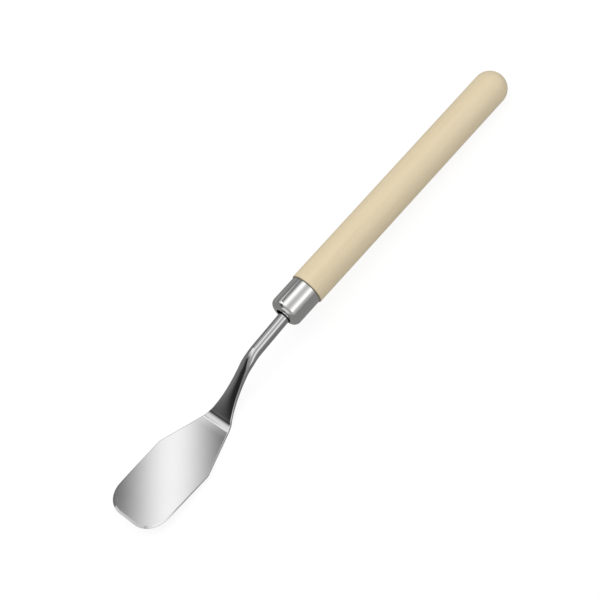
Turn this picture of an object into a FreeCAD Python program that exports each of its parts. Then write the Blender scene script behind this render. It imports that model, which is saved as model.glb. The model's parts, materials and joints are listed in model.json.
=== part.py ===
"""A cranked palette knife: one forged blade with its tang, a ferrule, a turned handle and the cement.

Every piece is modelled in the handle's frame, in millimetres: the handle's axis is X, its wooden
shoulder is at X = 0, the tail is towards +X and the blade towards -X. The finished pieces are then
laid down together, so that the knife rests on the heel of its blade and on its tail, at Z = 0.
"""
import FreeCAD, Part
import math
import os

from FreeCAD import Vector

# Handle: turned wood with a dome end, and a reduced spigot at the front.
HANDLE_RADIUS = 6.5
HANDLE_STRAIGHT = 102.35
HANDLE_SHOULDER_ROUND = 0.45
SPIGOT_RADIUS = 5.58
SPIGOT_LENGTH = 9.5
SPIGOT_NOSE_ROUND = 0.5

# Ferrule: a drawn cup pressed on the spigot, with a rounded shoulder. Its round mouth is punched
# below the axis, where the shank passes, and its end wall stands clear of the spigot.
FERRULE_RADIUS = 6.08
FERRULE_LENGTH = 12.45
FERRULE_END_WALL = 0.6
FERRULE_SHOULDER_ROUND = 2.3
FERRULE_INNER_ROUND = 1.4
FERRULE_MOUTH_RADIUS = 3.05
FERRULE_MOUTH_Z = -0.6
FERRULE_REAR_BEVEL = 0.2

# Tang and shank: one straight round rod, which crosses the handle's axis at a slight lean.
ROD_RADIUS = 2.2
SHANK_LEAN = math.radians(3.84)
SHANK_CROSSING_X = 7.5
TANG_END_X = 24.0
TANG_CHAMFER = 0.6

# Bore: drilled in the wood along the tang, with a drill point. Cement fills it round the tang.
BORE_RADIUS = 2.5
BORE_END_X = 27.0
BORE_POINT = 1.4
CEMENT_RECESS = 0.4

# Neck: forged flat and wider from the crank down to the heel of the blade.
CRANK_X = -32.23
CRANK_RADIUS = 23.0
HEEL_X = -52.75
HEEL_Z = -14.10
HEEL_RADIUS = 6.5
HEEL_HALF_WIDTH = 5.78
HEEL_THICKNESS = 0.75
NECK_THICKNESS = 1.6
NECK_FLARE_POWER = 2.7
NECK_EDGE_ROUND = 0.2
FORGING_START = -4.7
FORGING_END = 4.5
CRANK_STATIONS = (0.0, 0.2, 0.4, 0.6, 0.8, 1.0)
NECK_STATIONS = (7.5, 10.0, 12.5, 15.0, 17.0, 19.0, 20.5)
HEEL_STATIONS = (0.0, 0.33, 0.67, 1.0)

# Where two stretches of the forging overlap, one stands this much inside the other.
BLEND_OVERLAP = 0.5
BLEND_STEP = 0.01

# Blade: flared heel, parallel sides, and a straight tip edge with large round corners.
BLADE_PITCH = math.radians(2.38)
BLADE_LENGTH = 45.95
BLADE_SHOULDER = 17.75
BLADE_SHOULDER_HALF_WIDTH = 12.42
BLADE_TIP_HALF_WIDTH = 12.36
BLADE_SHOULDER_ROUND = 2.0
BLADE_CORNER_RADIUS = 8.5
BLADE_TIP_THICKNESS = 0.4

Y_AXIS = Vector(0, 1, 0)
QUARTER = math.pi / 2.0


def in_side_view(along, height):
    """A point in the knife's plane of symmetry."""
    return Vector(along, 0, height)


class Bend:
    """The arc that joins two straight runs of the forging's centreline at a corner."""

    def __init__(self, corner, before, after, radius):
        self.before = before
        self.turn = before.getAngle(after)
        self.radius = radius
        self.setback = radius * math.tan(self.turn / 2.0)
        self.start = corner - before * self.setback
        self.inward = (after - before * before.dot(after)).normalize()
        self.centre = self.start + self.inward * radius

    def at(self, fraction):
        """Point and direction at a fraction of the arc."""
        angle = self.turn * fraction
        forward = self.before * math.cos(angle) + self.inward * math.sin(angle)
        outward = self.before * math.sin(angle) - self.inward * math.cos(angle)
        return self.centre + outward * self.radius, forward


def on_shank_line(along):
    """A point on the straight line of the tang and shank."""
    return in_side_view(along, (along - SHANK_CROSSING_X) * math.tan(SHANK_LEAN))


# Centreline of the forging: tang and shank, neck and blade, with a bend at each corner.
TANG_END = on_shank_line(TANG_END_X)
CRANK = on_shank_line(CRANK_X)
HEEL = in_side_view(HEEL_X, HEEL_Z)
SHANK_DIRECTION = (CRANK - TANG_END).normalize()
NECK_DIRECTION = (HEEL - CRANK).normalize()
BLADE_DIRECTION = in_side_view(-math.cos(BLADE_PITCH), math.sin(BLADE_PITCH))
NECK_LENGTH = (HEEL - CRANK).Length
CRANK_TURN = Bend(CRANK, SHANK_DIRECTION, NECK_DIRECTION, CRANK_RADIUS)
HEEL_TURN = Bend(HEEL, NECK_DIRECTION, BLADE_DIRECTION, HEEL_RADIUS)


def arc_about(centre, radius, first_angle, last_angle, make_point):
    """An arc about a centre, from one angle to another."""
    points = []
    for angle in (first_angle, (first_angle + last_angle) / 2.0, last_angle):
        across = centre[0] + radius * math.cos(angle)
        rise = centre[1] + radius * math.sin(angle)
        points.append(make_point(across, rise))
    return Part.Arc(*points)


def closed_wire(pieces):
    """Arcs and single points, in order, joined by straight lines into one closed wire."""
    edges = []
    for piece, following in zip(pieces, pieces[1:] + pieces[:1]):
        start = piece
        end = following
        if isinstance(piece, Part.Arc):
            edges.append(piece.toShape())
            start = piece.EndPoint
        if isinstance(following, Part.Arc):
            end = following.StartPoint
        if (end - start).Length > 1e-6:
            edges.append(Part.LineSegment(start, end).toShape())
    return Part.Wire(edges)


def turned(pieces):
    """The solid that a closed outline in the XZ plane sweeps round the handle's axis."""
    return Part.Face(closed_wire(pieces)).revolve(Vector(0, 0, 0), Vector(1, 0, 0), 360.0)


def bore_space():
    """The space that is drilled for the tang, along its line, from in front of the spigot."""
    start = on_shank_line(-FERRULE_LENGTH)
    end = on_shank_line(BORE_END_X)
    hole = Part.makeCylinder(BORE_RADIUS, (end - start).Length, start, end - start)
    return hole.fuse(Part.makeCone(BORE_RADIUS, 0.0, BORE_POINT, end, end - start)).removeSplitter()


def make_handle():
    """Turned handle: spigot, shoulder, long cylinder, dome end, and a blind bore for the tang."""
    nose = (SPIGOT_NOSE_ROUND - SPIGOT_LENGTH, SPIGOT_RADIUS - SPIGOT_NOSE_ROUND)
    shoulder = (HANDLE_SHOULDER_ROUND, HANDLE_RADIUS - HANDLE_SHOULDER_ROUND)
    blank = turned([
        in_side_view(-SPIGOT_LENGTH, 0.0),
        arc_about((HANDLE_STRAIGHT, 0.0), HANDLE_RADIUS, 0.0, QUARTER, in_side_view),
        arc_about(shoulder, HANDLE_SHOULDER_ROUND, QUARTER, 2.0 * QUARTER, in_side_view),
        in_side_view(0.0, SPIGOT_RADIUS),
        arc_about(nose, SPIGOT_NOSE_ROUND, QUARTER, 2.0 * QUARTER, in_side_view),
    ])
    return blank.cut(bore_space())


def make_ferrule():
    """Drawn ferrule: a thin cup with a rounded shoulder, a round mouth and a bevelled rear rim."""
    inner_end = FERRULE_END_WALL - FERRULE_LENGTH
    outer = (FERRULE_SHOULDER_ROUND - FERRULE_LENGTH, FERRULE_RADIUS - FERRULE_SHOULDER_ROUND)
    inner = (FERRULE_INNER_ROUND + inner_end, SPIGOT_RADIUS - FERRULE_INNER_ROUND)
    cup = turned([
        in_side_view(0.0, FERRULE_RADIUS - FERRULE_REAR_BEVEL),
        in_side_view(-FERRULE_REAR_BEVEL, FERRULE_RADIUS),
        arc_about(outer, FERRULE_SHOULDER_ROUND, QUARTER, 2.0 * QUARTER, in_side_view),
        in_side_view(-FERRULE_LENGTH, 0.0),
        in_side_view(inner_end, 0.0),
        arc_about(inner, FERRULE_INNER_ROUND, 2.0 * QUARTER, QUARTER, in_side_view),
        in_side_view(0.0, SPIGOT_RADIUS),
    ])
    start = in_side_view(-2.0 * FERRULE_LENGTH, FERRULE_MOUTH_Z)
    return cup.cut(Part.makeCylinder(FERRULE_MOUTH_RADIUS, 1.5 * FERRULE_LENGTH, start, Vector(1, 0, 0)))


def make_cement(forging):
    """Hard cement: the bore's whole space behind its mouth, less the tang."""
    length = BORE_END_X + BORE_POINT + SPIGOT_LENGTH
    width = 4.0 * BORE_RADIUS
    corner = Vector(CEMENT_RECESS - SPIGOT_LENGTH, -width / 2.0, -width / 2.0)
    behind_mouth = Part.makeBox(length, width, width, corner)
    return bore_space().common(behind_mouth).cut(forging)


def make_rod():
    """Tang and shank: a straight round bar with a chamfered end."""
    span = CRANK_TURN.start - TANG_END
    rod = Part.makeCylinder(ROD_RADIUS, span.Length, TANG_END, span)
    end_edges = [edge for edge in rod.Edges if (edge.CenterOfMass - TANG_END).Length < 1e-3]
    return rod.makeChamfer(TANG_CHAMFER, end_edges)


def rounded_section(point, direction, half_width, half_thickness, corner):
    """A closed rounded rectangle across the centreline."""
    up = Y_AXIS.cross(direction).normalize()

    def in_section(across, rise):
        return point + Y_AXIS * across + up * rise

    arcs = []
    for quadrant in range(4):
        side = 1.0 if quadrant in (0, 3) else -1.0
        rise = 1.0 if quadrant in (0, 1) else -1.0
        centre = (side * (half_width - corner), rise * (half_thickness - corner))
        first = quadrant * QUARTER
        arcs.append(arc_about(centre, corner, first, first + QUARTER, in_section))
    return closed_wire(arcs)


def blade_half_width(along):
    """Half-width of the blade's flared heel at a distance from the heel's corner."""
    return HEEL_HALF_WIDTH + (BLADE_SHOULDER_HALF_WIDTH - HEEL_HALF_WIDTH) * along / BLADE_SHOULDER


def neck_share(distance):
    """How far down the neck a place is: 0 at the crank and before it, 1 at the heel."""
    return max(0.0, distance / NECK_LENGTH)


def forged_share(distance):
    """How far the round rod is forged flat: 0 before the crank's bend, 1 soon after it."""
    share = (distance - FORGING_START) / (FORGING_END - FORGING_START)
    share = min(1.0, max(0.0, share))
    return share * share * (3.0 - 2.0 * share)


def neck_half_width(distance):
    """Half-width of the neck at a distance from the crank."""
    return ROD_RADIUS + (HEEL_HALF_WIDTH - ROD_RADIUS) * neck_share(distance) ** NECK_FLARE_POWER


def neck_half_thickness(distance):
    """Half-thickness of the neck at a distance from the crank."""
    flat = NECK_THICKNESS + (HEEL_THICKNESS - NECK_THICKNESS) * neck_share(distance)
    return ROD_RADIUS + (flat / 2.0 - ROD_RADIUS) * forged_share(distance)


def neck_edge_round(distance):
    """Corner radius of the neck's section: nearly round at the crank, nearly square where it is flat."""
    forged = forged_share(distance)
    return 0.97 * neck_half_thickness(distance) * (1.0 - forged) + NECK_EDGE_ROUND * forged


def neck_section(point, direction):
    """The neck's section where its centreline passes a point."""
    distance = (point - CRANK).dot(NECK_DIRECTION)
    return rounded_section(point, direction, neck_half_width(distance) + BLEND_STEP,
                           neck_half_thickness(distance) + BLEND_STEP, neck_edge_round(distance))


def make_neck():
    """Forged neck: a loft from the round shank, down the crank, to the thin wide heel."""
    start, direction = CRANK_TURN.at(0.0)
    sections = [neck_section(start - direction * BLEND_OVERLAP, direction)]
    for fraction in CRANK_STATIONS:
        sections.append(neck_section(*CRANK_TURN.at(fraction)))
    for distance in NECK_STATIONS:
        sections.append(neck_section(CRANK + NECK_DIRECTION * distance, NECK_DIRECTION))
    heel_half_thickness = HEEL_THICKNESS / 2.0 - BLEND_STEP
    for fraction in HEEL_STATIONS:
        point, direction = HEEL_TURN.at(fraction)
        half_width = blade_half_width((point - HEEL).dot(BLADE_DIRECTION)) - BLEND_STEP
        sections.append(rounded_section(point, direction, half_width, heel_half_thickness, NECK_EDGE_ROUND))
    end, direction = HEEL_TURN.at(1.0)
    sections.append(rounded_section(end + direction * BLEND_OVERLAP, direction, half_width,
                                    heel_half_thickness - BLEND_STEP, NECK_EDGE_ROUND))
    return Part.makeLoft(sections, True, False)


def make_blade():
    """Blade, flat underneath and tapered on top: its outline cut from a wedge, then put on the heel."""
    underside = -HEEL_THICKNESS / 2.0
    start = HEEL_TURN.setback
    side = Part.Face(closed_wire([
        in_side_view(start, underside),
        in_side_view(BLADE_LENGTH, underside),
        in_side_view(BLADE_LENGTH, underside + BLADE_TIP_THICKNESS),
        in_side_view(start, underside + HEEL_THICKNESS),
    ]))
    wedge = side.extrude(Vector(0, 4.0 * BLADE_SHOULDER_HALF_WIDTH, 0))
    wedge.translate(Vector(0, -2.0 * BLADE_SHOULDER_HALF_WIDTH, 0))

    corner = (BLADE_LENGTH - BLADE_CORNER_RADIUS, BLADE_TIP_HALF_WIDTH - BLADE_CORNER_RADIUS)

    def in_plan(along, across):
        return Vector(along, across, 2.0 * underside)

    outline = closed_wire([
        in_plan(start, -blade_half_width(start)),
        in_plan(BLADE_SHOULDER, -BLADE_SHOULDER_HALF_WIDTH),
        arc_about((corner[0], -corner[1]), BLADE_CORNER_RADIUS, -QUARTER, 0.0, in_plan),
        arc_about(corner, BLADE_CORNER_RADIUS, 0.0, QUARTER, in_plan),
        in_plan(BLADE_SHOULDER, BLADE_SHOULDER_HALF_WIDTH),
        in_plan(start, blade_half_width(start)),
    ])
    plate = Part.Face(outline).extrude(Vector(0, 0, 4.0 * HEEL_THICKNESS))
    shoulders = [edge for edge in plate.Edges if is_shoulder(edge)]
    blade = plate.makeFillet(BLADE_SHOULDER_ROUND, shoulders).common(wedge)
    blade.rotate(Vector(0, 0, 0), Vector(0, 0, 1), 180.0)
    blade.rotate(Vector(0, 0, 0), Y_AXIS, math.degrees(BLADE_PITCH))
    blade.translate(HEEL)
    return blade


def is_shoulder(edge):
    """True for the plate's two upright edges where the flare meets the parallel sides."""
    box = edge.BoundBox
    upright = box.XLength < 1e-3 and box.YLength < 1e-3
    return upright and abs(box.XMin - BLADE_SHOULDER) < 1e-3


def make_blade_and_tang():
    """The whole forging: tang, shank, neck and blade are one piece of steel."""
    return make_rod().fuse([make_neck(), make_blade()]).removeSplitter()


def resting_tilt():
    """Angle that brings the heel's outer bend and the dome end down on one level."""
    dome_to_heel = in_side_view(HANDLE_STRAIGHT, 0.0) - HEEL_TURN.centre
    rise = HANDLE_RADIUS - (HEEL_RADIUS + HEEL_THICKNESS / 2.0)
    return math.atan2(dome_to_heel.z, dome_to_heel.x) - math.asin(rise / dome_to_heel.Length)


def laid_down(shape):
    """The shape turned to the resting tilt, on Z = 0, with the knife's length centred on X = 0."""
    tilt = resting_tilt()
    placed = shape.copy()
    placed.rotate(Vector(0, 0, 0), Y_AXIS, math.degrees(tilt))
    turn = FreeCAD.Rotation(Y_AXIS, math.degrees(tilt))
    dome = turn.multVec(in_side_view(HANDLE_STRAIGHT, 0.0))
    blade_up = Y_AXIS.cross(BLADE_DIRECTION)
    tip = turn.multVec(HEEL + BLADE_DIRECTION * BLADE_LENGTH - blade_up * (HEEL_THICKNESS / 2.0))
    middle = (dome.x + HANDLE_RADIUS + tip.x) / 2.0
    placed.translate(Vector(-middle, 0, HANDLE_RADIUS - dome.z))
    return placed


def main():
    os.makedirs("parts", exist_ok=True)
    forging = make_blade_and_tang()
    pieces = {
        "blade_and_tang": forging,
        "ferrule": make_ferrule(),
        "handle": make_handle(),
        "tang_cement": make_cement(forging),
    }
    for name, shape in pieces.items():
        solid = laid_down(shape).Solids[0]
        solid.exportStep("parts/" + name + ".step")
        print(name, "valid", solid.isValid(), "solids", len(shape.Solids), "volume", round(solid.Volume, 1))


main()
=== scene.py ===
import json
import math

import bpy
from mathutils import Matrix, Vector


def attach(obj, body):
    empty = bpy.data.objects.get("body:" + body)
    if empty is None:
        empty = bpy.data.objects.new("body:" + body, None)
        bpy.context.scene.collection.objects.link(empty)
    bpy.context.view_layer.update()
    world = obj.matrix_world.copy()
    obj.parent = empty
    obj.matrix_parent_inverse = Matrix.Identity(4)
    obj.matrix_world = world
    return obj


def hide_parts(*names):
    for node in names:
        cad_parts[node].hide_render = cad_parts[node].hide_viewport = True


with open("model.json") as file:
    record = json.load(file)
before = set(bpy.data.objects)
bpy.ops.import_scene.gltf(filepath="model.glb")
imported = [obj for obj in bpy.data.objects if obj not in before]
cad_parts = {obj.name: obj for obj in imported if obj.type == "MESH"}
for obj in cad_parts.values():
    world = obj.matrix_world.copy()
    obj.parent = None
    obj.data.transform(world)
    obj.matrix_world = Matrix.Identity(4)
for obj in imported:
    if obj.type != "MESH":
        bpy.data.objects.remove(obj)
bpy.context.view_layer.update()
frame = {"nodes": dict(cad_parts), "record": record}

# Lengths are in millimetres in the handle's own frame: its axis is X, the wooden shoulder is at X = 0,
# the tail is towards +X and the blade towards -X. KNIFE turns them into the frame's metres.
MM = 0.001

# Handle and ferrule. Both are a hair thinner than their solids, so that they stay inside them.
HANDLE_RADIUS = 6.49
HANDLE_STRAIGHT = 102.35
SHOULDER_ROUND = 0.45
SPIGOT_RADIUS = 5.58
SPIGOT_LENGTH = 9.5
SPIGOT_NOSE = 0.5
BORE_RADIUS = 2.5
BORE_END = 27.0
BORE_POINT = 1.4
FERRULE_RADIUS = 6.07
FERRULE_LENGTH = 12.45
FERRULE_END_WALL = 0.6
FERRULE_SHOULDER = 2.3
FERRULE_INNER_ROUND = 1.4
FERRULE_REAR_BEVEL = 0.2
MOUTH_RADIUS = 3.05
MOUTH_HEIGHT = -0.6
MOUTH_LIP = 0.1

# How finely the lathed pieces are divided: round the axis, and along their rounded profiles
LATHE_STEPS = 144
ROUND_STEPS = 8
LIP_STEPS = 4
FERRULE_SHOULDER_STEPS = 22
DOME_STEPS = 40
DOME_LAST_RING = 2.0

# Forging: tang, shank, neck and blade. The blade's heel is a hair thinner than its solid too.
ROD_RADIUS = 2.2
SHANK_LEAN = math.radians(3.84)
SHANK_CROSSING = 7.5
TANG_END = 24.0
TANG_CHAMFER = 0.6
CRANK_X = -32.23
CRANK_RADIUS = 23.0
HEEL = (-52.75, -14.10)
HEEL_RADIUS = 6.5
HEEL_HALF_WIDTH = 5.78
HEEL_THICKNESS = 0.73
NECK_THICKNESS = 1.6
NECK_CROWN = 0.18
FLARE_POWER = 2.7
BLADE_PITCH = math.radians(2.38)
BLADE_LENGTH = 45.95
BLADE_SHOULDER = 17.75
SHOULDER_HALF_WIDTH = 12.42
SHOULDER_SOFTEN = 0.5
SHOULDER_CUT = 0.04
TIP_HALF_WIDTH = 12.36
CORNER_RADIUS = 8.5
TIP_THICKNESS = 0.4

# Distances from the crank's corner between which the round rod is forged flat
FORGING_START = -4.7
FORGING_END = 4.5

# The upper edges are SIDE_INSET wide and SIDE_DROP high. They grow towards the crank, and at the tip they
# become a ground bevel that leaves an edge of TIP_EDGE. The lower edges are only rounded.
SIDE_INSET = 0.24
SIDE_DROP = 0.11
CRANK_EXTRA_INSET = 0.15
CRANK_EXTRA_DROP = 0.45
TIP_BEVEL = 0.85
TIP_EDGE = 0.14
GRIND_POWER = 7
LOW_ROUND = 0.05

# Where the middle point of a rounded edge lies, as shares of the edge's width and height
UPPER_MIDDLE = (0.4, 0.3)
LOWER_MIDDLE = 0.3

# How finely the forging is divided: across its faces, and along each of its stretches
COLUMNS = 26
SHANK_STEPS = 10
CRANK_STEPS = 24
NECK_STEPS = 36
HEEL_STEPS = 14
FLARE_STEPS = 12
SIDE_STEPS = 16
CORNER_STEPS = 20

# Normals are smooth across anything that turns by less than these degrees. The forging's bevels are shallow.
CREASE_ANGLE = 32.0
FORGING_CREASE_ANGLE = 10.0

# Camera. The line of sight leaves the plane square to the handle by SIGHT_TILT, towards the blade, and the
# knife's plane of symmetry by SIGHT_LEAN. CAMERA_AIM is the point in the picture's plane that it meets.
SIGHT_TILT = math.radians(15.5)
SIGHT_LEAN = math.radians(34.6)
CAMERA_ROLL = math.radians(47.63)
CAMERA_DISTANCE = 584.0
CAMERA_AIM = (-4.163, -0.815)
FIELD_OF_VIEW = math.radians(20.15)


def knife_matrix():
    """The handle's frame in the row frame, from the handle's mount."""
    grip = next(m for m in frame["record"]["mounts"] if m["name"] == "handle_grip")
    along = Vector(grip["axis"]).normalized()
    across = Vector((0.0, 1.0, 0.0))
    up = along.cross(across)
    middle = (SHOULDER_ROUND + HANDLE_STRAIGHT) / 2.0 * MM
    origin = Vector(grip["pos_m"]) - along * middle
    turn = Matrix((along, across, up)).transposed().to_4x4()
    return Matrix.Translation(origin) @ turn @ Matrix.Scale(MM, 4)


KNIFE = knife_matrix()
KNIFE_TILT = math.atan2(-KNIFE.col[0].z, KNIFE.col[0].x)


# ---------------------------------------------------------------- camera

def make_camera():
    """The scene's camera, worked out in the handle's frame and then set in the row frame."""
    back = Vector((-math.sin(SIGHT_TILT), -math.sin(SIGHT_LEAN), 0.0))
    back.z = math.sqrt(1.0 - back.length_squared)
    along = (Vector((1.0, 0.0, 0.0)) - back * back.x).normalized()
    across = back.cross(along)
    place = back * CAMERA_DISTANCE + along * CAMERA_AIM[0] + across * CAMERA_AIM[1]
    right = along * math.cos(CAMERA_ROLL) - across * math.sin(CAMERA_ROLL)
    up = along * math.sin(CAMERA_ROLL) + across * math.cos(CAMERA_ROLL)
    turn = KNIFE.to_3x3().normalized()
    data = bpy.data.cameras.new("camera")
    data.angle = FIELD_OF_VIEW
    data.clip_start = 0.01
    camera = bpy.data.objects.new("camera", data)
    axes = Matrix((turn @ right, turn @ up, turn @ back)).transposed().to_4x4()
    camera.matrix_world = Matrix.Translation(KNIFE @ place) @ axes
    bpy.context.scene.collection.objects.link(camera)
    bpy.context.scene.camera = camera


# ---------------------------------------------------------------- mesh helpers

def new_piece(name, points, faces, material, crease_angle=CREASE_ANGLE):
    """A smooth-shaded mesh from points in the handle's frame, with creases only at real edges."""
    mesh = bpy.data.meshes.new(name)
    mesh.from_pydata([KNIFE @ Vector(p) for p in points], [], faces)
    mesh.validate()
    mesh.update()
    mesh.polygons.foreach_set("use_smooth", [True] * len(mesh.polygons))
    mesh.set_sharp_from_angle(angle=math.radians(crease_angle))
    mesh.materials.append(material)
    piece = bpy.data.objects.new(name, mesh)
    bpy.context.scene.collection.objects.link(piece)
    return piece


def arc(centre, radius, first, last, steps):
    """Points on an arc, angles in degrees."""
    points = []
    for i in range(steps + 1):
        angle = math.radians(first + (last - first) * i / steps)
        points.append((centre[0] + radius * math.cos(angle), centre[1] + radius * math.sin(angle)))
    return points


def lathe(outline, steps):
    """Points and faces of a closed solid of rings round X. A ring without a radius is a pole.

    The outline holds (along, radius) of each ring, and a third value where its centre is off the axis.
    """
    points = []
    rings = []
    for along, radius, *offset in outline:
        height = offset[0] if offset else 0.0
        if radius < 1e-9:
            rings.append([len(points)])
            points.append((along, 0.0, height))
            continue
        ring = []
        for i in range(steps):
            angle = 2.0 * math.pi * i / steps
            ring.append(len(points))
            points.append((along, radius * math.cos(angle), height + radius * math.sin(angle)))
        rings.append(ring)
    faces = []
    for a, b in zip(rings, rings[1:] + rings[:1]):
        if len(a) == 1 and len(b) == 1:
            continue
        for i in range(steps):
            j = (i + 1) % steps
            if len(a) == 1:
                faces.append((a[0], b[j], b[i]))
            elif len(b) == 1:
                faces.append((a[i], a[j], b[0]))
            else:
                faces.append((a[i], a[j], b[j], b[i]))
    return points, faces


# ---------------------------------------------------------------- handle and ferrule

def shank_height(along):
    """Height of the tang's and shank's straight centreline."""
    return (along - SHANK_CROSSING) * math.tan(SHANK_LEAN)


def make_handle(material):
    """Turned handle: dome end, long cylinder with a soft shoulder, and the hidden spigot and bore."""
    bore = ((BORE_END + BORE_POINT, 0.0), (BORE_END, BORE_RADIUS), (-SPIGOT_LENGTH, BORE_RADIUS))
    nose = (SPIGOT_NOSE - SPIGOT_LENGTH, SPIGOT_RADIUS - SPIGOT_NOSE)
    shoulder = (SHOULDER_ROUND, HANDLE_RADIUS - SHOULDER_ROUND)
    outline = [(along, radius, shank_height(along)) for along, radius in bore]
    outline += arc(nose, SPIGOT_NOSE, 180.0, 90.0, ROUND_STEPS)
    outline += [(0.0, SPIGOT_RADIUS)]
    outline += arc(shoulder, SHOULDER_ROUND, 180.0, 90.0, ROUND_STEPS)
    outline += arc((HANDLE_STRAIGHT, 0.0), HANDLE_RADIUS, 90.0, DOME_LAST_RING, DOME_STEPS)
    outline += [(HANDLE_STRAIGHT + HANDLE_RADIUS, 0.0)]
    points, faces = lathe(outline, LATHE_STEPS)
    return new_piece("turned_handle", points, faces, material)


def make_ferrule(material):
    """Drawn ferrule: rounded shoulder, softened mouth a little below the axis, and a bevelled rear rim."""
    front = -FERRULE_LENGTH
    inner_end = front + FERRULE_END_WALL
    shoulder = (front + FERRULE_SHOULDER, FERRULE_RADIUS - FERRULE_SHOULDER)
    lip = (front + MOUTH_LIP, MOUTH_RADIUS + MOUTH_LIP)
    inner = (FERRULE_INNER_ROUND + inner_end, SPIGOT_RADIUS - FERRULE_INNER_ROUND)
    outline = [(0.0, FERRULE_RADIUS - FERRULE_REAR_BEVEL), (-FERRULE_REAR_BEVEL, FERRULE_RADIUS)]
    outline += arc(shoulder, FERRULE_SHOULDER, 90.0, 180.0, FERRULE_SHOULDER_STEPS)
    for along, radius in arc(lip, MOUTH_LIP, 180.0, 270.0, LIP_STEPS):
        outline.append((along, radius, MOUTH_HEIGHT))
    outline.append((inner_end, MOUTH_RADIUS, MOUTH_HEIGHT))
    outline += arc(inner, FERRULE_INNER_ROUND, 180.0, 90.0, ROUND_STEPS)
    outline += [(0.0, SPIGOT_RADIUS)]
    points, faces = lathe(outline, LATHE_STEPS)
    return new_piece("drawn_ferrule", points, faces, material)


# ---------------------------------------------------------------- forging

def side_vector(along, height):
    """A vector in the knife's plane of symmetry."""
    return Vector((along, 0.0, height))


class Bend:
    """The arc that joins two straight runs of the forging's centreline."""

    def __init__(self, corner, before, after, radius):
        self.before = before
        self.radius = radius
        self.turn = before.angle(after)
        self.setback = radius * math.tan(self.turn / 2.0)
        self.start = corner - before * self.setback
        self.inward = (after - before * before.dot(after)).normalized()
        self.centre = self.start + self.inward * radius

    def at(self, fraction):
        """The centreline's point and direction at a fraction of the bend."""
        angle = self.turn * fraction
        forward = self.before * math.cos(angle) + self.inward * math.sin(angle)
        outward = self.before * math.sin(angle) - self.inward * math.cos(angle)
        return self.centre + outward * self.radius, forward


def forged_share(distance):
    """How far the round rod is forged flat: 0 before the crank's bend, 1 soon after it."""
    share = min(1.0, max(0.0, (distance - FORGING_START) / (FORGING_END - FORGING_START)))
    return share * share * (3.0 - 2.0 * share)


def neck_size(distance, length):
    """Half-width and half-thickness of the neck at a distance from the crank."""
    share = max(0.0, distance / length)
    wide = ROD_RADIUS + (HEEL_HALF_WIDTH - ROD_RADIUS) * share ** FLARE_POWER
    flat = NECK_THICKNESS + (HEEL_THICKNESS - NECK_THICKNESS) * share
    return wide, ROD_RADIUS + (flat / 2.0 - ROD_RADIUS) * forged_share(distance)


def blade_half_width(along):
    """Half-width of the flaring blade at a distance from its heel, up to its shoulder."""
    return HEEL_HALF_WIDTH + (SHOULDER_HALF_WIDTH - HEEL_HALF_WIDTH) * along / BLADE_SHOULDER


def rim_section(top_edge, top_inset, top_face, low_edge, low_inset, low_face, crown):
    """One closed ring of points as (across, height) pairs, from the +Y wall over the top and back below.

    Each side's edge is three points: at the outline, on the bevel, and where the face begins. crown is how
    far the top face rises towards its middle.
    """
    def half(edge, inset, face, rise):
        (ey, ez), (iy, iz), (fy, fz) = edge, inset, face
        row = [(ey, ez), (iy, iz)]
        for j in range(COLUMNS + 1):
            side = 1.0 - 2.0 * j / COLUMNS
            row.append((fy * side, fz + rise * (1.0 - side * side)))
        row += [(-iy, iz), (-ey, ez)]
        return row

    wall = (top_edge[0], (top_edge[1] + low_edge[1]) / 2.0)
    top = half(top_edge, top_inset, top_face, crown)
    low = half(low_edge, low_inset, low_face, 0.0)
    return [wall] + top + [(-wall[0], wall[1])] + low[::-1]


def flat_section(wide, top, low, inset, drop, crown):
    """A plate's section. inset and drop are its upper edges' width and height."""
    face = top - crown
    in_share, down_share = UPPER_MIDDLE
    low_middle = LOWER_MIDDLE * LOW_ROUND
    upper = ((wide, face - drop), (wide - in_share * inset, face - down_share * drop), (wide - inset, face))
    lower = ((wide, low + LOW_ROUND), (wide - low_middle, low + low_middle), (wide - LOW_ROUND, low))
    return rim_section(*upper, *lower, crown)


def round_section(wide, thin):
    """An ellipse with as many points as a plate's section, in the same order."""
    count = COLUMNS + 6
    ring = []
    for i in range(2 * count):
        angle = math.pi * i / count
        ring.append((wide * math.cos(angle), thin * math.sin(angle)))
    return ring


def mixed(first, second, share):
    """Two sections blended point by point: the first at a share of 0, the second at 1."""
    return [(a[0] + (b[0] - a[0]) * share, a[1] + (b[1] - a[1]) * share) for a, b in zip(first, second)]


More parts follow.
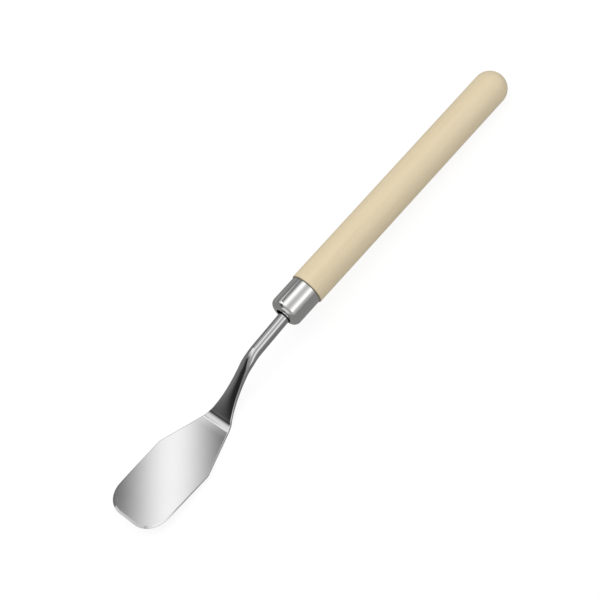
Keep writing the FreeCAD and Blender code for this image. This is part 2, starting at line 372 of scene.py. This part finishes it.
class Forging:
    """The closed mesh of the forging, built up ring by ring from the tang's end to the blade's tip."""

    def __init__(self):
        self.points = []
        self.faces = []
        self.last = None

    def ring(self, positions):
        """Joins one more ring of positions to the last one. They run from +Y over the top and back below."""
        ring = list(range(len(self.points), len(self.points) + len(positions)))
        self.points += positions
        if self.last is None:
            self.faces.append(tuple(ring))
        else:
            for i in range(len(ring)):
                j = (i + 1) % len(ring)
                self.faces.append((self.last[i], ring[i], ring[j], self.last[j]))
        self.last = ring

    def ring_across(self, point, direction, section):
        """Adds a ring of (across, height) points in the plane across the centreline."""
        up = Vector((0.0, 1.0, 0.0)).cross(direction).normalized()
        self.ring([point + Vector((0.0, across, 0.0)) + up * height for across, height in section])

    def row(self, left, right):
        """Points from one side of the tip's edge to the other, with the ring's own points at the ends."""
        indices = [left]
        for j in range(1, COLUMNS):
            indices.append(len(self.points))
            self.points.append(self.points[left].lerp(self.points[right], j / COLUMNS))
        return indices + [right]

    def close_tip(self):
        """Closes the tip between the last ring's corners, row by row from the top to the underside."""
        ring = self.last
        half = len(ring) // 2
        top = ring[3:half - 2]
        underside = ring[half + 3:-2][::-1]
        bevel = self.row(ring[2], ring[half - 2])
        upper_edge = self.row(ring[1], ring[half - 1])
        middle = self.row(ring[0], ring[half])
        lower_edge = self.row(ring[-1], ring[half + 1])
        rounding = self.row(ring[-2], ring[half + 2])
        rows = [top, bevel, upper_edge, middle, lower_edge, rounding, underside]
        for upper, lower in zip(rows, rows[1:]):
            for j in range(COLUMNS):
                self.faces.append((upper[j], lower[j], lower[j + 1], upper[j + 1]))


def blade_outline():
    """(along, half-width) down one side of the blade, from the heel's bend to the end of the tip's corner."""
    before = BLADE_SHOULDER - SHOULDER_SOFTEN
    after = BLADE_SHOULDER + SHOULDER_SOFTEN
    straight = BLADE_LENGTH - CORNER_RADIUS
    rows = []
    for i in range(1, FLARE_STEPS + 1):
        along = HEEL_TURN.setback + (before - HEEL_TURN.setback) * i / FLARE_STEPS
        rows.append((along, blade_half_width(along)))
    rows.append((BLADE_SHOULDER, SHOULDER_HALF_WIDTH - SHOULDER_CUT))
    for i in range(SIDE_STEPS + 1):
        along = after + (straight - after) * i / SIDE_STEPS
        share = (along - BLADE_SHOULDER) / (straight - BLADE_SHOULDER)
        rows.append((along, SHOULDER_HALF_WIDTH + (TIP_HALF_WIDTH - SHOULDER_HALF_WIDTH) * share))
    rows += arc((straight, TIP_HALF_WIDTH - CORNER_RADIUS), CORNER_RADIUS, 90.0, 0.0, CORNER_STEPS)[1:]
    return rows


# Centreline of the forging: a straight tang and shank, the crank's bend, the neck, the heel's bend, the blade
TANG_POINT = side_vector(TANG_END, shank_height(TANG_END))
CRANK = side_vector(CRANK_X, shank_height(CRANK_X))
HEEL_POINT = side_vector(*HEEL)
SHANK_DIRECTION = (CRANK - TANG_POINT).normalized()
NECK_DIRECTION = (HEEL_POINT - CRANK).normalized()
BLADE_DIRECTION = side_vector(-math.cos(BLADE_PITCH), math.sin(BLADE_PITCH))
BLADE_UP = Vector((0.0, 1.0, 0.0)).cross(BLADE_DIRECTION)
NECK_LENGTH = (HEEL_POINT - CRANK).length
CRANK_TURN = Bend(CRANK, SHANK_DIRECTION, NECK_DIRECTION, CRANK_RADIUS)
HEEL_TURN = Bend(HEEL_POINT, NECK_DIRECTION, BLADE_DIRECTION, HEEL_RADIUS)


def neck_section(distance):
    """The neck's section: round at the crank, then a plate with a crowned top that fades at the heel."""
    wide, thin = neck_size(distance, NECK_LENGTH)
    square = forged_share(distance)
    share = min(1.0, max(0.0, distance / NECK_LENGTH))
    crown = NECK_CROWN * square * (1.0 - share ** 2)
    inset = SIDE_INSET + CRANK_EXTRA_INSET * (1.0 - share)
    drop = SIDE_DROP + CRANK_EXTRA_DROP * (1.0 - share)
    plate = flat_section(wide, thin, -thin, inset, drop, crown)
    return mixed(round_section(wide, thin), plate, square)


def blade_row(along, wide, corner):
    """Positions of one ring of the blade. corner runs from 0 on the straight sides to 1 at the tip's edge."""
    low = -HEEL_THICKNESS / 2.0
    thick = HEEL_THICKNESS + (TIP_THICKNESS - HEEL_THICKNESS) * along / BLADE_LENGTH
    straight = BLADE_LENGTH - CORNER_RADIUS - BLADE_SHOULDER
    grind = min(1.0, max(0.0, (along - BLADE_SHOULDER) / straight)) ** GRIND_POWER
    bevel = SIDE_INSET + (TIP_BEVEL - SIDE_INSET) * grind
    drop = SIDE_DROP + (thick - TIP_EDGE - LOW_ROUND - SIDE_DROP) * grind
    back = math.sin(corner * math.pi / 2.0)
    side = math.cos(corner * math.pi / 2.0)
    base = HEEL_POINT + BLADE_DIRECTION * along

    def place(share, offset, height):
        shift = BLADE_DIRECTION * (-back * offset) + BLADE_UP * (low + height)
        return base + shift + Vector((0.0, share * (wide - side * offset), 0.0))

    def face(offset, height):
        return [place(1.0 - 2.0 * j / COLUMNS, offset, height) for j in range(COLUMNS + 1)]

    def across(edge, inset, inner):
        near = [place(1.0, *edge), place(1.0, *inset)]
        return near + face(*inner) + [place(-1.0, *inset), place(-1.0, *edge)]

    low_middle = LOWER_MIDDLE * LOW_ROUND
    top = across((0.0, thick - drop), (0.5 * bevel, thick - 0.5 * drop), (bevel, thick))
    bottom = across((0.0, LOW_ROUND), (low_middle, low_middle), (LOW_ROUND, 0.0))
    middle = (thick - drop + LOW_ROUND) / 2.0
    return [place(1.0, 0.0, middle)] + top + [place(-1.0, 0.0, middle)] + bottom[::-1]


def make_forging(material):
    """Tang, shank, crank, neck, heel bend and blade as one closed mesh."""
    forging = Forging()
    rod = round_section(ROD_RADIUS, ROD_RADIUS)
    tang_tip = round_section(ROD_RADIUS - TANG_CHAMFER, ROD_RADIUS - TANG_CHAMFER)
    forging.ring_across(TANG_POINT, SHANK_DIRECTION, tang_tip)
    start = TANG_POINT + SHANK_DIRECTION * TANG_CHAMFER
    for i in range(SHANK_STEPS):
        forging.ring_across(start.lerp(CRANK_TURN.start, i / SHANK_STEPS), SHANK_DIRECTION, rod)
    for i in range(CRANK_STEPS + 1):
        point, direction = CRANK_TURN.at(i / CRANK_STEPS)
        forging.ring_across(point, direction, neck_section((point - CRANK).dot(NECK_DIRECTION)))
    first = CRANK_TURN.setback
    last = NECK_LENGTH - HEEL_TURN.setback
    for i in range(1, NECK_STEPS):
        distance = first + (last - first) * i / NECK_STEPS
        forging.ring_across(CRANK + NECK_DIRECTION * distance, NECK_DIRECTION, neck_section(distance))
    half = HEEL_THICKNESS / 2.0
    for i in range(HEEL_STEPS + 1):
        point, direction = HEEL_TURN.at(i / HEEL_STEPS)
        wide = blade_half_width((point - HEEL_POINT).dot(BLADE_DIRECTION))
        forging.ring_across(point, direction, flat_section(wide, half, -half, SIDE_INSET, SIDE_DROP, 0.0))
    outline = blade_outline()
    for i, (along, wide) in enumerate(outline):
        corner = max(0.0, (i - (len(outline) - 1 - CORNER_STEPS)) / CORNER_STEPS)
        forging.ring(blade_row(along, wide, corner))
    forging.close_tip()
    return new_piece("forged_blade", forging.points, forging.faces, material, FORGING_CREASE_ANGLE)


# ---------------------------------------------------------------- materials

# The steel keeps its full colour from near the heel on towards the tip, and behind the start of the fade it
# is a little darker: painted shade on the shank, the crank and the start of the neck.
NECK_SHADE_START = -38.0
NECK_SHADE_END = -52.0
NECK_PAINTED_SHADE = 0.92
# The punched wall of the ferrule's mouth has painted shade that makes it nearly black.
MOUTH_PAINTED_SHADE = 0.12
# A fine line of painted shadow lies on the wood where it meets the ferrule. The spigot's end, seen through
# the mouth, is darkened with painted shade.
SEAM_SHADE_FROM = 0.1
SEAM_SHADE_TO = 0.4
SEAM_PAINTED_SHADE = 0.35
SPIGOT_DARK_TO = -9.0
SPIGOT_UNSHADED_FROM = -8.0
SPIGOT_PAINTED_SHADE = 0.1


class Nodes:
    """Short ways to add the nodes that the materials share."""

    def __init__(self, tree):
        self.tree = tree

    def add(self, kind, **values):
        node = self.tree.nodes.new(kind)
        for name, value in values.items():
            setattr(node, name, value)
        return node

    def link(self, source, target):
        self.tree.links.new(source, target)

    def coordinates(self, scale, turn=0.0):
        """Object coordinates in metres, scaled along X, Y and Z and then turned about Y."""
        place = self.add("ShaderNodeTexCoord")
        mapping = self.add("ShaderNodeMapping")
        mapping.inputs["Scale"].default_value = scale
        mapping.inputs["Rotation"].default_value = (0.0, turn, 0.0)
        self.link(place.outputs["Object"], mapping.inputs["Vector"])
        return mapping.outputs["Vector"]

    def knife_place(self):
        """Millimetres along, across and above the handle's axis, in the handle's own frame."""
        place = self.add("ShaderNodeTexCoord")
        mapping = self.add("ShaderNodeMapping", vector_type="TEXTURE")
        mapping.inputs["Location"].default_value = KNIFE.translation
        mapping.inputs["Rotation"].default_value = (0.0, KNIFE_TILT, 0.0)
        mapping.inputs["Scale"].default_value = (MM, MM, MM)
        self.link(place.outputs["Object"], mapping.inputs["Vector"])
        split = self.add("ShaderNodeSeparateXYZ")
        self.link(mapping.outputs["Vector"], split.inputs["Vector"])
        return split.outputs

    def step(self, value, low, high):
        """0 at low and 1 at high, with a smooth rise between. low may be the larger of the two."""
        node = self.add("ShaderNodeMapRange", interpolation_type="SMOOTHSTEP")
        node.inputs["From Min"].default_value = min(low, high)
        node.inputs["From Max"].default_value = max(low, high)
        node.inputs["To Min"].default_value = 0.0 if low < high else 1.0
        node.inputs["To Max"].default_value = 1.0 if low < high else 0.0
        self.link(value, node.inputs["Value"])
        return node.outputs["Result"]

    def darkened(self, color, shade):
        """A colour multiplied by a grey factor."""
        node = self.add("ShaderNodeVectorMath", operation="SCALE")
        self.link(color, node.inputs["Vector"])
        self.link(shade, node.inputs["Scale"])
        return node.outputs["Vector"]

    def noise(self, vector, scale, detail=3.0, roughness=0.5):
        """Noise from 0 to 1, centred near 0.5."""
        node = self.add("ShaderNodeTexNoise")
        node.inputs["Scale"].default_value = scale
        node.inputs["Detail"].default_value = detail
        node.inputs["Roughness"].default_value = roughness
        self.link(vector, node.inputs["Vector"])
        return node.outputs["Fac"]

    def ramp(self, factor, stops):
        """A colour read from (position, colour) stops."""
        node = self.add("ShaderNodeValToRGB")
        elements = node.color_ramp.elements
        while len(elements) < len(stops):
            elements.new(0.5)
        for element, (position, color) in zip(elements, stops):
            element.position = position
            element.color = (*color, 1.0)
        self.link(factor, node.inputs["Fac"])
        return node.outputs["Color"]

    def spread(self, factor, low, high):
        """A 0 to 1 value spread between two limits."""
        node = self.add("ShaderNodeMapRange")
        node.inputs["To Min"].default_value = low
        node.inputs["To Max"].default_value = high
        self.link(factor, node.inputs["Value"])
        return node.outputs["Result"]

    def math(self, operation, first, second=None):
        """The result of an operation on one or two sockets or numbers."""
        node = self.add("ShaderNodeMath", operation=operation)
        for socket, value in zip(node.inputs, (first, second)):
            if value is None:
                continue
            if isinstance(value, (int, float)):
                socket.default_value = value
            else:
                self.link(value, socket)
        return node.outputs["Value"]

    def seen(self):
        """1 for rays from the lens or from a reflection, 0 for those that only light a surface."""
        path = self.add("ShaderNodeLightPath")
        seen = self.math("MAXIMUM", path.outputs["Is Camera Ray"], path.outputs["Is Glossy Ray"])
        return self.math("MAXIMUM", seen, path.outputs["Is Transmission Ray"])

    def bump(self, height, distance, strength, shader=None, below=None):
        """A bumped normal, laid over the one below and joined to the shader, where these are given."""
        node = self.add("ShaderNodeBump")
        node.inputs["Distance"].default_value = distance
        node.inputs["Strength"].default_value = strength
        self.link(height, node.inputs["Height"])
        if below is not None:
            self.link(below, node.inputs["Normal"])
        if shader is not None:
            self.link(node.outputs["Normal"], shader.inputs["Normal"])
        return node.outputs["Normal"]


def empty_material(name):
    """A material with only its output node."""
    material = bpy.data.materials.new(name)
    material.use_nodes = True
    material.node_tree.nodes.clear()
    nodes = Nodes(material.node_tree)
    return material, nodes, nodes.add("ShaderNodeOutputMaterial")


def new_material(name):
    """A material with one principled shader."""
    material, nodes, output = empty_material(name)
    shader = nodes.add("ShaderNodeBsdfPrincipled")
    nodes.link(shader.outputs["BSDF"], output.inputs["Surface"])
    return material, nodes, shader


def steel_material():
    """Polished spring steel with hair-fine grinding lines along the knife, and painted shade towards the
    crank.
    """
    material, nodes, shader = new_material("blade_steel")
    lines = nodes.noise(nodes.coordinates((40.0, 6000.0, 6000.0), -KNIFE_TILT), 1.0, 2.0, 0.5)
    clouds = nodes.noise(nodes.coordinates((1.0, 1.0, 1.0)), 90.0, 3.0)
    shader.inputs["Metallic"].default_value = 1.0
    color = nodes.ramp(clouds, ((0.3, (0.61, 0.61, 0.61)), (0.7, (0.63, 0.63, 0.63))))
    along = nodes.knife_place()[0]
    # Painted shade: the colour is a little darker on the shank, the crank and the start of the neck.
    neck_shade = nodes.spread(nodes.step(along, NECK_SHADE_START, NECK_SHADE_END), NECK_PAINTED_SHADE, 1.0)
    nodes.link(nodes.darkened(color, neck_shade), shader.inputs["Base Color"])
    shine = nodes.math("ADD", nodes.spread(lines, 0.05, 0.09), nodes.spread(clouds, -0.01, 0.01))
    nodes.link(shine, shader.inputs["Roughness"])
    nodes.bump(lines, 0.000001, 0.06, shader)
    return material


def ferrule_material():
    """Bright nickel plating over faint turning marks, with painted shade darkening the wall in the mouth."""
    material, nodes, shader = new_material("ferrule_plating")
    marks = nodes.noise(nodes.coordinates((7000.0, 40.0, 40.0), -KNIFE_TILT), 1.0, 3.0, 0.6)
    clouds = nodes.noise(nodes.coordinates((1.0, 1.0, 1.0)), 220.0, 3.0)
    shader.inputs["Metallic"].default_value = 1.0
    color = nodes.ramp(clouds, ((0.3, (0.74, 0.735, 0.725)), (0.7, (0.78, 0.775, 0.765))))
    _, across, height = nodes.knife_place()
    height = nodes.math("SUBTRACT", height, MOUTH_HEIGHT)
    across_squared = nodes.math("MULTIPLY", across, across)
    height_squared = nodes.math("MULTIPLY", height, height)
    from_mouth = nodes.math("SQRT", nodes.math("ADD", across_squared, height_squared))
    # Painted shade: the wall inside the mouth is coloured nearly black.
    mouth_shade = nodes.spread(nodes.step(from_mouth, MOUTH_RADIUS, MOUTH_RADIUS + MOUTH_LIP), MOUTH_PAINTED_SHADE, 1.0)
    nodes.link(nodes.darkened(color, mouth_shade), shader.inputs["Base Color"])
    shine = nodes.math("ADD", nodes.spread(marks, 0.08, 0.12), nodes.spread(clouds, -0.01, 0.01))
    nodes.link(shine, shader.inputs["Roughness"])
    nodes.bump(marks, 0.000002, 0.12, shader)
    return material


def wood_material():
    """Pale close-grained wood under a thin satin lacquer, with a painted shadow line at its shoulder and
    painted shade on the spigot's end.
    """
    material, nodes, shader = new_material("handle_wood")
    grain = nodes.noise(nodes.coordinates((14.0, 520.0, 520.0), -KNIFE_TILT), 1.0, 5.0, 0.62)
    flecks = nodes.noise(nodes.coordinates((260.0, 4200.0, 4200.0), -KNIFE_TILT), 1.0, 3.0, 0.6)
    clouds = nodes.noise(nodes.coordinates((12.0, 60.0, 60.0), -KNIFE_TILT), 1.0, 2.0)
    dark = (0.785, 0.65, 0.43)
    light = (0.82, 0.69, 0.46)
    pale = (0.83, 0.705, 0.495)
    mixed_grain = nodes.math("ADD", nodes.math("MULTIPLY", grain, 0.6), nodes.math("MULTIPLY", flecks, 0.2))
    mixed_grain = nodes.math("ADD", mixed_grain, nodes.math("MULTIPLY", clouds, 0.2))
    color = nodes.ramp(mixed_grain, ((0.34, dark), (0.52, light), (0.72, pale)))
    along = nodes.knife_place()[0]
    # Painted shadow at the ferrule's seam, and painted shade on the spigot's end seen through the mouth.
    seam_shade = nodes.spread(nodes.step(along, SEAM_SHADE_FROM, SEAM_SHADE_TO), SEAM_PAINTED_SHADE, 1.0)
    spigot = nodes.spread(nodes.step(along, SPIGOT_DARK_TO, SPIGOT_UNSHADED_FROM), SPIGOT_PAINTED_SHADE, 1.0)
    nodes.link(nodes.darkened(color, nodes.math("MULTIPLY", seam_shade, spigot)), shader.inputs["Base Color"])
    nodes.link(nodes.spread(grain, 0.42, 0.52), shader.inputs["Roughness"])
    shader.inputs["Coat Weight"].default_value = 0.35
    shader.inputs["Coat Roughness"].default_value = 0.32
    fine = nodes.bump(flecks, 0.00001, 0.25)
    nodes.bump(grain, 0.00002, 0.2, shader, fine)
    return material


def cement_material():
    """Cured resin, darkened to near-black as painted shade in its bore."""
    material, nodes, shader = new_material("tang_cement")
    clouds = nodes.noise(nodes.coordinates((1.0, 1.0, 1.0)), 900.0, 4.0)
    # Painted shade: the resin is coloured near-black because it lies deep in the bore.
    color = nodes.ramp(clouds, ((0.3, (0.035, 0.025, 0.015)), (0.7, (0.06, 0.04, 0.025))))
    nodes.link(color, shader.inputs["Base Color"])
    nodes.link(nodes.spread(clouds, 0.45, 0.65), shader.inputs["Roughness"])
    nodes.bump(clouds, 0.00005, 0.4, shader)
    return material


# ---------------------------------------------------------------- stage and light

# To the lens and in reflections the floor glows by FLOOR_GLOW and returns FLOOR_SHADED of the light on it, so
# that shadows are faint. Towards anything else it is paper that returns FLOOR_PAPER.
FLOOR_HALF_SIZE = 6.0
FLOOR_GLOW = 0.90
FLOOR_SHADED = 0.13
FLOOR_PAPER = 0.80
# The card lies on the floor under the knife, which reflects it instead of the white floor.
CARD_HALF_X = 0.6
CARD_HALF_Y = 0.45
CARD_HEIGHT = 0.0001
CARD_GLOW = 0.27
# The world is white where it is seen or reflected, and lights the knife with SKY_LIGHT.
SKY_SEEN = 1.0
SKY_LIGHT = 0.58
OVERHEAD_PLACE = (0.0, 0.02, 0.75)
OVERHEAD_SIZE = (0.9, 0.7)
OVERHEAD_WATTS = 2.55

TENT_RADIUS = 0.5
TENT_HALF_LENGTH = 1.2
TENT_STEPS = 48
# Brightness round the tent, by degrees from the floor in front (0) over the top to the floor behind (180)
TENT_BANDS = (
    (0, 0.40), (7, 0.47), (14, 0.58), (19, 0.80), (24, 1.20), (29, 1.42), (35, 1.42), (41, 1.15), (48, 0.82),
    (56, 0.64), (64, 0.60), (71, 0.68), (78, 0.88), (84, 1.25), (92, 1.38), (100, 1.30), (106, 0.90),
    (113, 0.42), (120, 0.26), (130, 0.22), (145, 0.24), (160, 0.28), (180, 0.38),
)

# A fade is a pair of places: where something is still 0 and where it has reached 1. Places along X are in
# millimetres, and places round the tent in degrees.
BANDS_FADE = (-320.0, -150.0)
# Beyond the bands the cloth is dark, with a soft glow in front and another behind.
FAR_CLOTH = 0.03
FRONT_GLOW_FADE = (116.0, 104.0)
FRONT_GLOW = 0.42
BACK_GLOW_FADE = (127.0, 144.0)
BACK_GLOW = 0.24
# The blade's lamp is a bell across a slanting line, which passes LAMP_X at LAMP_ANGLE.
LAMP_X = 41.0
LAMP_ANGLE = 126.0
LAMP_SLANT = 8.9
LAMP_WIDTH = 37.0
BLADE_LAMP_ROUND = ((100.0, 106.0), (140.0, 133.0))
BLADE_LAMP = 1.50
# The heel's lamp is an even patch.
HEEL_LAMP_ALONG = ((-350.0, -130.0), (0.0, -30.0))
HEEL_LAMP_ROUND = ((105.0, 113.0), (140.0, 134.0))
HEEL_LAMP = 1.10


def stage_body(name, points, faces, material):
    mesh = bpy.data.meshes.new(name)
    mesh.from_pydata(points, [], faces)
    mesh.materials.append(material)
    body = bpy.data.objects.new(name, mesh)
    bpy.context.scene.collection.objects.link(body)
    return body


def make_plane(name, half_x, half_y, height, material):
    corners = ((-half_x, -half_y), (half_x, -half_y), (half_x, half_y), (-half_x, half_y))
    return stage_body(name, [(x, y, height) for x, y in corners], [(0, 1, 2, 3)], material)


def only_reflected(card):
    """Makes a studio card one that metal reflects, and that neither shows nor lights nor shades anything."""
    card.visible_camera = False
    card.visible_diffuse = False
    card.visible_transmission = False
    card.visible_volume_scatter = False
    card.visible_shadow = False


def floor_material():
    """White paper: white to the lens and in reflections, with the object's soft shadow on it."""
    material, nodes, output = empty_material("white_floor")
    seen = nodes.seen()
    glow = nodes.add("ShaderNodeEmission")
    glow.inputs["Strength"].default_value = FLOOR_GLOW
    shaded = nodes.add("ShaderNodeBsdfDiffuse")
    shaded.inputs["Color"].default_value = (FLOOR_SHADED, FLOOR_SHADED, FLOOR_SHADED, 1.0)
    both = nodes.add("ShaderNodeAddShader")
    nodes.link(glow.outputs["Emission"], both.inputs[0])
    nodes.link(shaded.outputs["BSDF"], both.inputs[1])
    plain = nodes.add("ShaderNodeBsdfDiffuse")
    plain.inputs["Color"].default_value = (FLOOR_PAPER, FLOOR_PAPER, FLOOR_PAPER, 1.0)
    mix = nodes.add("ShaderNodeMixShader")
    nodes.link(seen, mix.inputs["Fac"])
    nodes.link(plain.outputs["BSDF"], mix.inputs[1])
    nodes.link(both.outputs["Shader"], mix.inputs[2])
    nodes.link(mix.outputs["Shader"], output.inputs["Surface"])
    return material


def card_material(name, strength):
    """Cloth or card that shines evenly by itself."""
    material, nodes, output = empty_material(name)
    glow = nodes.add("ShaderNodeEmission")
    glow.inputs["Strength"].default_value = strength
    nodes.link(glow.outputs["Emission"], output.inputs["Surface"])
    return material, nodes, glow


def tent_material():
    """A light tent: two long soft lights with darker cloth between, which fade out beyond the blade's end.

    Two more lamps, for the blade and for its heel, show where they are brighter than that.
    """
    material, nodes, glow = card_material("light_tent", 1.0)

    def product(*values):
        result = values[0]
        for value in values[1:]:
            result = nodes.math("MULTIPLY", result, value)
        return result

    def fades(value, pairs):
        return [nodes.step(value, *pair) for pair in pairs]

    place = nodes.add("ShaderNodeTexCoord")
    split = nodes.add("ShaderNodeSeparateXYZ")
    nodes.link(place.outputs["Object"], split.inputs["Vector"])
    along = nodes.math("MULTIPLY", split.outputs["X"], 1.0 / MM)
    angle = nodes.math("ARCTAN2", split.outputs["Z"], nodes.math("MULTIPLY", split.outputs["Y"], -1.0))
    degrees = nodes.math("MULTIPLY", angle, 180.0 / math.pi)

    # The ramp's colours are half of the brightness, which keeps them below 1.
    stops = [(at / 180.0, (brightness / 2.0,) * 3) for at, brightness in TENT_BANDS]
    bands = nodes.math("MULTIPLY", nodes.ramp(nodes.math("DIVIDE", degrees, 180.0), stops), 2.0)
    near = nodes.step(along, *BANDS_FADE)
    front_glow = product(nodes.step(degrees, *FRONT_GLOW_FADE), FRONT_GLOW)
    back_glow = product(nodes.step(degrees, *BACK_GLOW_FADE), BACK_GLOW)
    far_cloth = nodes.math("ADD", nodes.math("ADD", front_glow, back_glow), FAR_CLOTH)
    far_cloth = product(far_cloth, nodes.math("SUBTRACT", 1.0, near))
    cloth = nodes.math("ADD", product(bands, near), far_cloth)

    slant = nodes.math("SUBTRACT", along, product(nodes.math("SUBTRACT", degrees, LAMP_ANGLE), LAMP_SLANT))
    offset = nodes.math("DIVIDE", nodes.math("SUBTRACT", slant, LAMP_X), LAMP_WIDTH)
    bell = nodes.math("EXPONENT", product(nodes.math("POWER", offset, 2.0), -1.0))
    blade_lamp = product(bell, *fades(degrees, BLADE_LAMP_ROUND), BLADE_LAMP)
    heel_lamp = product(*fades(along, HEEL_LAMP_ALONG), *fades(degrees, HEEL_LAMP_ROUND), HEEL_LAMP)
    lamps = nodes.math("ADD", blade_lamp, heel_lamp)
    nodes.link(nodes.math("MAXIMUM", cloth, lamps), glow.inputs["Strength"])
    return material


def make_tent():
    """A half-cylinder round X, open at its ends, that only the metal's reflections show."""
    points = []
    for i in range(TENT_STEPS + 1):
        angle = math.pi * i / TENT_STEPS
        y = -TENT_RADIUS * math.cos(angle)
        z = TENT_RADIUS * math.sin(angle)
        points += [(-TENT_HALF_LENGTH, y, z), (TENT_HALF_LENGTH, y, z)]
    faces = [(2 * i, 2 * i + 1, 2 * i + 3, 2 * i + 2) for i in range(TENT_STEPS)]
    only_reflected(stage_body("light_tent", points, faces, tent_material()))


def make_world():
    """An even white surrounding, which lights the knife less than it shows."""
    world = bpy.data.worlds.new("studio")
    world.use_nodes = True
    world.node_tree.nodes.clear()
    nodes = Nodes(world.node_tree)
    output = nodes.add("ShaderNodeOutputWorld")
    background = nodes.add("ShaderNodeBackground")
    background.inputs["Color"].default_value = (1.0, 1.0, 1.0, 1.0)
    nodes.link(nodes.spread(nodes.seen(), SKY_LIGHT, SKY_SEEN), background.inputs["Strength"])
    nodes.link(background.outputs["Background"], output.inputs["Surface"])
    bpy.context.scene.world = world


def make_lamp(name, place, aim, size, power):
    """A rectangular lamp that lights but shows in no reflection."""
    data = bpy.data.lights.new(name, "AREA")
    data.shape = "RECTANGLE"
    data.size = size[0]
    data.size_y = size[1]
    data.energy = power
    lamp = bpy.data.objects.new(name, data)
    lamp.location = place
    lamp.rotation_euler = (Vector(aim) - Vector(place)).to_track_quat("-Z", "Y").to_euler()
    lamp.visible_glossy = False
    bpy.context.scene.collection.objects.link(lamp)


def make_stage():
    make_plane("floor", FLOOR_HALF_SIZE, FLOOR_HALF_SIZE, 0.0, floor_material())
    dark, _, _ = card_material("dark_card", CARD_GLOW)
    only_reflected(make_plane("dark_card", CARD_HALF_X, CARD_HALF_Y, CARD_HEIGHT, dark))
    make_tent()
    make_world()
    make_lamp("overhead", OVERHEAD_PLACE, (0.0, 0.0, 0.0), OVERHEAD_SIZE, OVERHEAD_WATTS)


# ---------------------------------------------------------------- the knife

def build():
    make_camera()
    pieces = (
        (make_forging, steel_material, "blade_and_tang", "blade_steel"),
        (make_ferrule, ferrule_material, "ferrule", "ferrule_plating"),
        (make_handle, wood_material, "handle", "handle_wood"),
    )
    for make, finish, node, slot in pieces:
        piece = make(finish())
        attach(piece, "root")
        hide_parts(node)
    for slot in frame["nodes"]["tang_cement"].material_slots:
        slot.material = cement_material()
    make_stage()
    bpy.context.scene.view_settings.view_transform = "Standard"


build()
